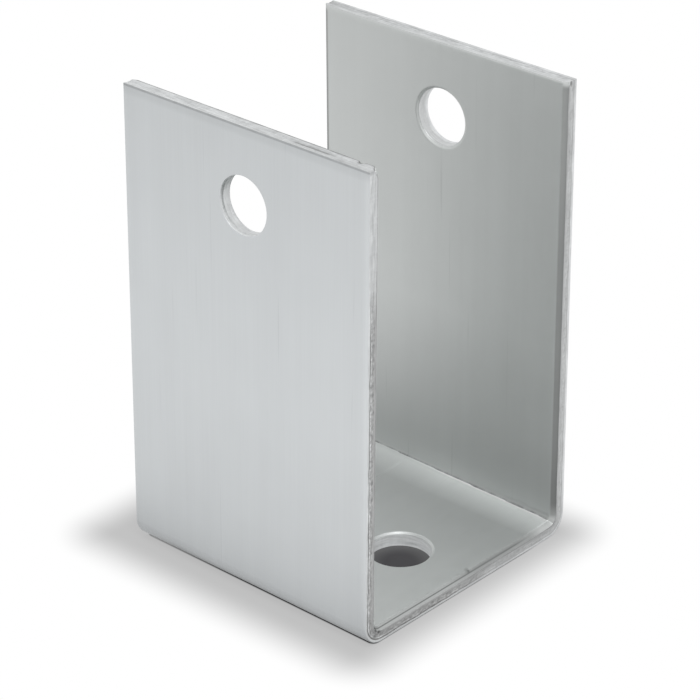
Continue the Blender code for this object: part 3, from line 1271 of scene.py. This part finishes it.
@dataclass(frozen=True)
class ShearedSteel:
    """The cut edge: polished lands beside a torn, duller band.

    Attributes:
        tone: base colour of the polished lands.
        torn_tone: base colour of the torn band.
        pit_tone: base colour of the pits in it.
        roughness: roughness of the lands.
        torn_roughness: roughness of the torn band.
        land_shade_depth: how much darker the painted shade makes the land beside the rolled edge.
    """

    tone: Point = (0.69, 0.705, 0.71)
    torn_tone: Point = (0.49, 0.495, 0.495)
    pit_tone: Point = (0.2, 0.2, 0.197)
    roughness: float = 0.42
    torn_roughness: float = 0.62
    land_shade_depth: float = 0.36

    END_SWING = 0.06
    END_SHADE_LINE = 0.5
    FLECK_CELLS = (1700.0, 1700.0, 2600.0)
    FLECK_SWING = (-0.32, 0.44)

    def material(self, sizes: StripSizes) -> bpy.types.Material:
        """Makes the material, which reads how torn the metal is from the mesh.

        Args:
            sizes: sizes of the strip, whose ends were cut more cleanly than its sides.

        Returns:
            The material.
        """
        tree = ShaderTree("sheared_steel_edge")
        flat = tree.attribute("flat_place").outputs["Vector"]
        torn = tree.attribute("torn").outputs["Fac"]
        scored = tree.noise(flat, (2600.0, 2600.0, 260.0), 3.0)
        crumbs = tree.noise(flat, (2400.0, 2400.0, 3600.0), 4.0)
        streaks = tree.noise(flat, (420.0, 420.0, 3400.0), 2.0)
        pits = tree.maths("MULTIPLY", tree.ramp(crumbs, 0.52, 0.68), torn)
        harsh = self._harshness(tree, flat, sizes)
        pits = tree.maths("MULTIPLY", pits, tree.maths("MULTIPLY_ADD", harsh, 0.35, 0.12))
        # The seam lines get painted shade; below 0, a painted highlight on the -X flange where the tear is harsh.
        seam = tree.attribute("seam").outputs["Fac"]
        light = tree.maths("MULTIPLY", tree.maths("MULTIPLY", seam, -1.0), tree.spread(crumbs, 0.5, 1.2))
        on_flange = tree.ramp(tree.parts(flat)["X"], -sizes.bend_start + 0.002, -sizes.bend_start - 0.002)
        light = tree.maths("MULTIPLY", light, tree.maths("MULTIPLY", on_flange, harsh))
        light = tree.maths("MAXIMUM", light, 0.0)
        seam = tree.maths("MULTIPLY", seam, tree.spread(crumbs, 0.45, 1.25))
        seam = tree.maths("MULTIPLY", seam, tree.maths("POWER", harsh, 2.0))
        pits = tree.maths("MAXIMUM", pits, seam)
        pits = tree.maths("MAXIMUM", pits, tree.attribute("scar").outputs["Fac"])

        dull = tree.ramp(torn, 0.0, 0.3)
        dull = tree.maths("MULTIPLY", dull, tree.maths("MULTIPLY_ADD", self._end(tree, flat, sizes), -0.75, 1.0))
        dull = tree.maths("MULTIPLY", dull, tree.maths("MULTIPLY_ADD", harsh, 0.8, 0.2))
        dull = tree.maths("MULTIPLY", dull, tree.maths("MULTIPLY_ADD", light, -0.85, 1.0))
        metal = tree.mixed(dull, self.tone, self.torn_tone)
        metal = tree.mixed(pits, metal, self.pit_tone)
        value = tree.maths("MULTIPLY", tree.spread(scored, 0.94, 1.06), tree.spread(crumbs, 0.97, 1.03))
        value = tree.maths("MULTIPLY", value, tree.spread(streaks, 0.86, 1.14))
        # Painted shade on the land beside the rolled edge.
        value = tree.maths("MULTIPLY_ADD", self._dulled(tree, flat, sizes), -self.land_shade_depth, value)
        blotch = tree.spread(tree.noise(flat, (350.0, 350.0, 700.0), 3.0), -0.13, 0.05)
        place = tree.parts(flat)
        across = tree.maths("MULTIPLY", place["Y"], tree.maths("SIGN", place["X"]))
        blotch = tree.maths("MULTIPLY_ADD", across, -self.END_SWING / sizes.width * 2, blotch)
        blotch = tree.maths("SUBTRACT", blotch, self.END_SWING)
        # A painted shade line along the droop at the strip's -X end.
        uneven = tree.spread(tree.noise(flat, (150.0, 450.0, 150.0), 2.0), 0.5, 1.2)
        line = tree.maths("MULTIPLY", tree.ramp(tree.attribute("roll").outputs["Fac"], 0.55, 0.95), uneven)
        line = tree.maths("MULTIPLY", line, tree.ramp(place["X"], 0.0, -0.001))
        blotch = tree.maths("MULTIPLY_ADD", line, -self.END_SHADE_LINE, blotch)
        value = tree.maths("MULTIPLY_ADD", self._end(tree, flat, sizes), blotch, value)
        value = tree.maths("MULTIPLY", value, self._mottled(tree, flat, torn, harsh))
        tree.wire(tree.tinted(metal, value), tree.shader.inputs["Base Color"])
        tree.wire(1.0, tree.shader.inputs["Metallic"])
        rough = tree.maths("MULTIPLY_ADD", torn, self.torn_roughness - self.roughness, self.roughness)
        tree.wire(tree.maths("ADD", rough, tree.spread(scored, -0.06, 0.06)), tree.shader.inputs["Roughness"])
        height = tree.maths("ADD", tree.maths("MULTIPLY", crumbs, torn), tree.maths("MULTIPLY", scored, 0.15))
        tree.wire(tree.bump(height, 0.4, 0.00004), tree.shader.inputs["Normal"])
        return tree.material

    def _mottled(
        self,
        tree: "ShaderTree",
        flat: bpy.types.NodeSocket,
        torn: bpy.types.NodeSocket,
        harsh: bpy.types.NodeSocket,
    ) -> bpy.types.NodeSocket:
        """Gives the light and dark flecks of the torn band, strongest where the tear is harsh."""
        flecks = tree.spread(tree.noise(flat, self.FLECK_CELLS, 2.0), *self.FLECK_SWING)
        share = tree.maths("MULTIPLY", tree.ramp(torn, 0.4, 0.9), tree.maths("POWER", harsh, 2.0))
        return tree.maths("MULTIPLY_ADD", flecks, share, 1.0)

    def _dulled(self, tree: "ShaderTree", flat: bpy.types.NodeSocket, sizes: StripSizes) -> bpy.types.NodeSocket:
        """Marks the painted shade on the land beside the rolled edge, but for the base's -X part, where it stays
        bright.
        """
        along = tree.parts(flat)["X"]
        out = tree.maths("ABSOLUTE", along)
        where = tree.ramp(out, sizes.bend_start - 0.001, sizes.bend_start + 0.002)
        where = tree.maths("MAXIMUM", where, tree.ramp(along, -0.004, 0.004))
        below = tree.maths("SUBTRACT", 1.0, self._end(tree, flat, sizes))
        where = tree.maths("MULTIPLY", where, below)
        where = tree.maths("MULTIPLY", where, tree.attribute("roll").outputs["Fac"])
        return tree.maths("MULTIPLY", where, tree.ramp(tree.attribute("torn").outputs["Fac"], 0.0, 0.2))

    def _end(self, tree: "ShaderTree", flat: bpy.types.NodeSocket, sizes: StripSizes) -> bpy.types.NodeSocket:
        """Marks the cuts at the strip's two ends."""
        out = tree.maths("ABSOLUTE", tree.parts(flat)["X"])
        return tree.ramp(out, sizes.half_length - 0.0006, sizes.half_length - 0.0003)

    def _harshness(
        self, tree: "ShaderTree", flat: bpy.types.NodeSocket, sizes: StripSizes
    ) -> bpy.types.NodeSocket:
        """Gives how harsh the tear is along the strip: worst from low on the -X flange to the base's middle."""
        along = tree.parts(flat)["X"]
        below_top = tree.ramp(along, -sizes.half_length + 0.011, -sizes.half_length + 0.022)
        before_fold = tree.ramp(along, 0.006, -0.005)
        return tree.maths("MULTIPLY", below_top, tree.maths("MULTIPLY_ADD", before_fold, 0.5, 0.5))


@dataclass
class FoldedBracket:
    """The whole bracket, which is one folded strip.

    Attributes:
        sizes: sizes of the strip.
        edge: section of its cut edges.
        punched: section of its punched holes.
        flange_hole_dullness: how dull the wall of a flange's hole is, from 0 to 1.
        flange_hole_radius: radius of the hole in each flange.
        base_hole_radius: radius of the two holes in the base.
        flange_hole_from_top: distance from a flange's top edge to its hole's centre.
        base_hole_spacing: distance between the base's two holes.
        base_hole_offset: how far that pair lies from the middle, towards the -X flange.
        outer_skin: finish of the outer face.
        inner_skin: finish of the inner face.
        cut: finish of its cut edges.
    """

    sizes: StripSizes
    edge: ShearedSection = ShearedSection()
    punched: ShearedSection = ShearedSection(
        roll_width=0.00036,
        roll_depth=0.0002,
        shoulder=0.0001,
        corner=0.00006,
        dullness=0.01,
        roughness=0.06,
        wanders=False,
        lined=False,
    )
    flange_hole_dullness: float = 0.2
    flange_hole_radius: float = 0.00385
    base_hole_radius: float = 0.0041
    flange_hole_from_top: float = 0.0102
    base_hole_spacing: float = 0.019
    base_hole_offset: float = 0.001
    outer_skin: RolledSteel = RolledSteel("brushed_outer_face", Grain.BRUSHED, (0.642, 0.664, 0.675), 0.43)
    inner_skin: RolledSteel = RolledSteel("mill_inner_face", Grain.MILL, (0.61, 0.628, 0.622), 0.53)
    cut: ShearedSteel = ShearedSteel()

    FLANGE_REACH = 0.0065
    BASE_REACH = 0.0060
    SHARP = math.radians(38)

    def holes(self) -> list[PunchedHole]:
        """Lists the holes at their places on the flat strip."""
        made = []
        dull = replace(self.punched, dullness=self.flange_hole_dullness)
        for side in (-1, 1):
            along = side * (self.sizes.half_length - self.flange_hole_from_top)
            made.append(PunchedHole(along, 0.0, self.flange_hole_radius, self.FLANGE_REACH, dull))
            across = side * self.base_hole_spacing / 2
            along = -self.base_hole_offset
            made.append(PunchedHole(along, across, self.base_hole_radius, self.BASE_REACH, self.punched))
        return made

    def dents(self) -> list[Dent]:
        """Lists the knocks that the photograph shows, at their places on the flat strip."""
        top = -self.sizes.half_length
        inside = self.sizes.thickness
        front = -self.sizes.width / 2
        return [
            Dent((top, -0.0173, inside), (0.0007, 0.0006, 0.0008), (0.00016, 0.0, -0.00014)),
            Dent((top, -0.0102, inside * 0.5), (0.0004, 0.0045, 0.00028), (0.00006, 0.0, 0.0), mark=0.6),
            Dent((top, front, inside), (0.0011, 0.0009, 0.0011), (0.0005, 0.00025, -0.00025), mark=0.15),
            Dent((-0.01774, front + 0.0002, 0.0017), (0.00052, 0.0008, 0.00052), (0.0, 0.00016, 0.0)),
            Dent((-0.0169, front, 0.00136), (0.0005, 0.0006, 0.0004), (0.0, 0.00016, 0.0)),
            Dent((-0.0174, front, 0.00084), (0.0003, 0.0005, 0.0003), (0.0, 0.00012, 0.0), mark=0.6),
            Dent((-top - 0.0004, front, 0.0010), (0.0005, 0.0004, 0.0003), (0.0, 0.0001, 0.0)),
            Dent((0.0010, front + 0.0006, inside), (0.0003, 0.0006, 0.0003), (0.0, 0.00006, -0.00008)),
        ]

    def build(self) -> bpy.types.Object:
        """Makes the blank, folds it and puts it in the CAD node's place.

        Returns:
            The finished bracket.
        """
        blank = PunchedBlank(self.sizes, self.edge, self.holes()).build("folded_strip")
        tree, values = FoldingTree(self.sizes, self.dents()).build()
        skins = (self.outer_skin.material(self.sizes), self.inner_skin.material(self.sizes))
        values |= dict(zip(FINISH_NAMES, (*skins, self.cut.material(self.sizes))))
        fold = blank.modifiers.new("fold", "NODES")
        fold.node_group = tree.tree
        for name, value in values.items():
            fold[tree.identifiers[name]] = value
        graph = bpy.context.evaluated_depsgraph_get()
        mesh = bpy.data.meshes.new_from_object(blank.evaluated_get(graph))
        blank.modifiers.remove(fold)
        blank.data = mesh
        mesh.shade_smooth()
        mesh.set_sharp_from_angle(angle=self.SHARP)
        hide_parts(CAD_NODE)
        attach(blank, BODY)
        log.info("%s: %d faces", blank.name, len(mesh.polygons))
        return blank


@dataclass
class ProductCamera:
    """The camera that took the photograph, as far as its perspective tells.

    Attributes:
        aim: point that it looks at.
        azimuth: direction of its look, from +Y towards -X, in degrees.
        elevation: how far above the horizon it stands, in degrees.
        distance: distance from the aim.
        focal_share: focal length as a share of the picture's width.
    """

    aim: Point = (-0.00142, -0.00121, 0.02816)
    azimuth: float = -47.943
    elevation: float = 27.421
    distance: float = 0.37666
    focal_share: float = 2982.3 / 700

    def build(self) -> bpy.types.Object:
        """Makes the camera and gives it to the scene."""
        turn, lift = math.radians(self.azimuth), math.radians(self.elevation)
        back = Vector((math.sin(turn) * math.cos(lift), -math.cos(turn) * math.cos(lift), math.sin(lift)))
        data = bpy.data.cameras.new("product_camera")
        data.lens = self.focal_share * data.sensor_width
        data.clip_start = 0.01
        camera = bpy.data.objects.new("product_camera", data)
        camera.location = Vector(self.aim) + back * self.distance
        camera.rotation_euler = back.to_track_quat("Z", "Y").to_euler()
        bpy.context.scene.collection.objects.link(camera)
        bpy.context.scene.camera = camera
        log.info("camera %.1f mm at %s", data.lens, tuple(round(v, 4) for v in camera.location))
        return camera


@dataclass
class PaleStudio:
    """A pale floor in soft white light, which the camera and the steel see as plain white, with a painted shadow
    close to the bracket.

    Attributes:
        floor_size: side of the floor.
        floor_tone: colour of the floor.
        shade_tone: colour of the floor close to the bracket, darkened there for a painted shadow.
        shade_reach: distance over which that painted shadow fades to white for the eye.
        mirrored_reach: the same distance for the steel's reflections.
        shade_glow: light that the floor gives off inside that painted shadow, which evens out its real shade.
        mirrored_glow: the same brightness for the steel's reflections.
        shade_low: corner of the painted shadow's rectangle nearest the camera.
        shade_high: its far corner.
        under_shadow_tone: colour of the painted shadow under the bracket, which the camera alone sees.
        under_shadow_rim_tone: its colour towards the border of a base hole, a painted light where more light gets in.
        under_shadow_rim: distances from a hole's middle where that colour starts and is full.
        hole_radius: radius of a base hole, with a little to spare.
        hole_middle: a base hole's middle, taken without its signs.
        under_shadow_low: corner of that painted shadow nearest the camera.
        under_shadow_high: its far corner.
        under_shadow_round: radius of its rounded corners.
        under_shadow_fade: distance over which its border fades.
        under_shadow_end: where it starts and stops to fade towards the +X fold.
        under_shadow_side: how far it fades towards the +Y side, from 0 to 1.
        world_light: strength of the white surroundings.
        lamp_power: power of the softbox, in watts.
        lamp_place: place of the softbox.
        lamp_size: side of the softbox.
    """

    floor_size: float = 4.0
    floor_tone: Point = (0.85, 0.85, 0.85)
    shade_tone: Point = (0.62, 0.62, 0.62)
    shade_reach: float = 0.0088
    mirrored_reach: float = 0.0145
    shade_glow: float = 0.53
    mirrored_glow: float = 0.68
    shade_low: tuple[float, float] = (-0.0202, -0.0194)
    shade_high: tuple[float, float] = (0.0182, 0.0228)
    under_shadow_tone: Point = (0.09, 0.088, 0.093)
    under_shadow_rim_tone: Point = (0.2, 0.2, 0.2)
    under_shadow_rim: tuple[float, float] = (0.0017, 0.0053)
    hole_radius: float = 0.0045
    hole_middle: tuple[float, float] = (0.001, 0.0095)
    under_shadow_low: tuple[float, float] = (-0.01774, -0.01986)
    under_shadow_high: tuple[float, float] = (0.0170, 0.0198)
    under_shadow_round: float = 0.0008
    under_shadow_fade: float = 0.0003
    under_shadow_end: tuple[float, float] = (0.0100, 0.0150)
    under_shadow_side: float = 0.4
    world_light: float = 0.8
    lamp_power: float = 1.2
    lamp_place: Point = (-0.18, -0.22, 0.6)
    lamp_size: float = 0.25

    # Share of the painted glow in the painted shadow close to the bracket.
    EVEN_SHARE = 0.85

    def build(self) -> None:
        """Makes the floor, the surroundings and the softbox."""
        self._floor()
        self._world()
        self._lamp()
        log.info("studio ready")

    def _floor(self) -> None:
        """Makes the floor, which shows white away from the bracket and a painted shadow close to it."""
        half = self.floor_size / 2
        mesh = bpy.data.meshes.new("floor")
        corners = [(-half, -half, 0.0), (half, -half, 0.0), (half, half, 0.0), (-half, half, 0.0)]
        mesh.from_pydata(corners, [], [(0, 1, 2, 3)])
        floor = bpy.data.objects.new("floor", mesh)
        bpy.context.scene.collection.objects.link(floor)
        mesh.materials.append(self._floor_material())

    def _distance(self, tree: ShaderTree, low: tuple[float, float], high: tuple[float, float]) -> object:
        """Adds nodes that give the distance outside a rectangle on the floor and returns their socket."""
        middle = ((low[0] + high[0]) / 2, (low[1] + high[1]) / 2, 0.0)
        half = ((high[0] - low[0]) / 2, (high[1] - low[1]) / 2, 1.0)
        place = tree.node("ShaderNodeTexCoord").outputs["Object"]
        outside = tree.vector("SUBTRACT", tree.vector("ABSOLUTE", tree.vector("SUBTRACT", place, middle)), half)
        return tree.vector("LENGTH", tree.vector("MAXIMUM", outside, (0.0, 0.0, 0.0)))

    def _near_rim(self, tree: ShaderTree, place: bpy.types.NodeOutputs) -> bpy.types.NodeSocket:
        """Marks the painted light on the painted shadow seen through a base hole, more towards the hole's border."""
        out = tree.maths("ADD", place["X"], self.hole_middle[0])
        along = tree.maths("SUBTRACT", tree.maths("ABSOLUTE", place["Y"]), self.hole_middle[1])
        squares = tree.maths("MULTIPLY_ADD", out, out, tree.maths("MULTIPLY", along, along))
        away = tree.maths("SQRT", squares)
        return tree.maths("MULTIPLY", tree.ramp(away, *self.under_shadow_rim), tree.maths("LESS_THAN", away, self.hole_radius))

    def _floor_material(self) -> bpy.types.Material:
        """Makes the floor's material: plain to the light, and to the eye white with a painted shadow round the
        bracket and a dark painted shadow under it.
        """
        tree = ShaderTree("pale_floor")
        tree.wire((*self.floor_tone, 1.0), tree.shader.inputs["Base Color"])
        tree.wire(1.0, tree.shader.inputs["Roughness"])
        tree.wire(0.0, tree.shader.inputs["Specular IOR Level"])
        # Painted shadow under the bracket: dark to the camera alone, lighter towards the base holes' borders.
        under_shadow_low = tuple(side + self.under_shadow_round for side in self.under_shadow_low)
        under_shadow_high = tuple(side - self.under_shadow_round for side in self.under_shadow_high)
        away = self._distance(tree, under_shadow_low, under_shadow_high)
        under = tree.ramp(away, self.under_shadow_round, self.under_shadow_round + self.under_shadow_fade)
        place = tree.parts(tree.node("ShaderNodeTexCoord").outputs["Object"])
        under = tree.maths("MAXIMUM", under, tree.ramp(place["X"], *self.under_shadow_end))
        side = tree.maths("MULTIPLY", tree.ramp(place["Y"], 0.0, self.under_shadow_high[1]), self.under_shadow_side)
        under = tree.maths("MAXIMUM", under, side)
        under_shadow = tree.mixed(self._near_rim(tree, place), self.under_shadow_tone, self.under_shadow_rim_tone)
        camera = tree.node("ShaderNodeLightPath").outputs["Is Camera Ray"]
        lit = tree.maths("MAXIMUM", under, tree.maths("SUBTRACT", 1.0, camera))
        near = tree.node("ShaderNodeBsdfDiffuse")
        tree.wire(tree.mixed(lit, under_shadow, self.shade_tone), near.inputs["Color"])
        # Painted shadow round the bracket: a fixed glow evens out the lit shade there.
        even = tree.node("ShaderNodeEmission")
        glow = tree.maths("MULTIPLY_ADD", camera, self.shade_glow - self.mirrored_glow, self.mirrored_glow)
        tree.wire(glow, even.inputs["Strength"])
        soft = tree.node("ShaderNodeMixShader")
        tree.wire(tree.maths("MULTIPLY", lit, self.EVEN_SHARE), soft.inputs["Fac"])
        tree.wire(near.outputs["BSDF"], soft.inputs[1])
        tree.wire(even.outputs["Emission"], soft.inputs[2])
        # The painted shadow fades to white with the distance from a rectangle round the bracket.
        white = tree.node("ShaderNodeEmission")
        fade = tree.node("ShaderNodeMixShader")
        shaded = self._distance(tree, self.shade_low, self.shade_high)
        mirrored = tree.ramp(shaded, 0.0, self.mirrored_reach)
        tree.wire(tree.between(camera, mirrored, tree.ramp(shaded, 0.0, self.shade_reach)), fade.inputs["Fac"])
        tree.wire(soft.outputs["Shader"], fade.inputs[1])
        tree.wire(white.outputs["Emission"], fade.inputs[2])
        seen = tree.node("ShaderNodeMixShader")
        tree.wire(tree.seen(), seen.inputs["Fac"])
        tree.wire(tree.shader.outputs["BSDF"], seen.inputs[1])
        tree.wire(fade.outputs["Shader"], seen.inputs[2])
        tree.wire(seen.outputs["Shader"], tree.nodes["Material Output"].inputs["Surface"])
        return tree.material

    def _world(self) -> None:
        """Makes the surroundings: plain light, and white to the camera and to the steel."""
        world = bpy.data.worlds.new("white_surroundings")
        world.use_nodes = True
        links, nodes = world.node_tree.links, world.node_tree.nodes
        path = nodes.new("ShaderNodeLightPath")
        seen = path.outputs["Is Camera Ray"]
        for kind in ("Is Glossy Ray", "Is Transmission Ray"):
            either = nodes.new("ShaderNodeMath")
            either.operation = "MAXIMUM"
            links.new(seen, either.inputs[0])
            links.new(path.outputs[kind], either.inputs[1])
            seen = either.outputs[0]
        strength = nodes.new("ShaderNodeMapRange")
        links.new(seen, strength.inputs["Value"])
        strength.inputs["To Min"].default_value = self.world_light
        strength.inputs["To Max"].default_value = 1.0
        links.new(strength.outputs["Result"], nodes["Background"].inputs["Strength"])
        nodes["Background"].inputs["Color"].default_value = (1.0, 1.0, 1.0, 1.0)
        bpy.context.scene.world = world

    def _lamp(self) -> None:
        """Makes the softbox, which stands high on the camera's side."""
        light = bpy.data.lights.new("softbox", "AREA")
        light.energy = self.lamp_power
        light.size = self.lamp_size
        lamp = bpy.data.objects.new("softbox", light)
        lamp.location = self.lamp_place
        lamp.rotation_euler = Vector(self.lamp_place).to_track_quat("Z", "Y").to_euler()
        bpy.context.scene.collection.objects.link(lamp)


def main() -> None:
    """Builds the bracket, the studio and the camera."""
    logging.basicConfig(level=logging.INFO, format="%(name)s: %(message)s")
    sizes = StripSizes.from_cad(CAD_NODE, thickness=0.002)
    FoldedBracket(sizes).build()
    PaleStudio().build()
    ProductCamera().build()
    bpy.context.scene.view_settings.view_transform = "Standard"


if __name__ == "__main__":
    main()
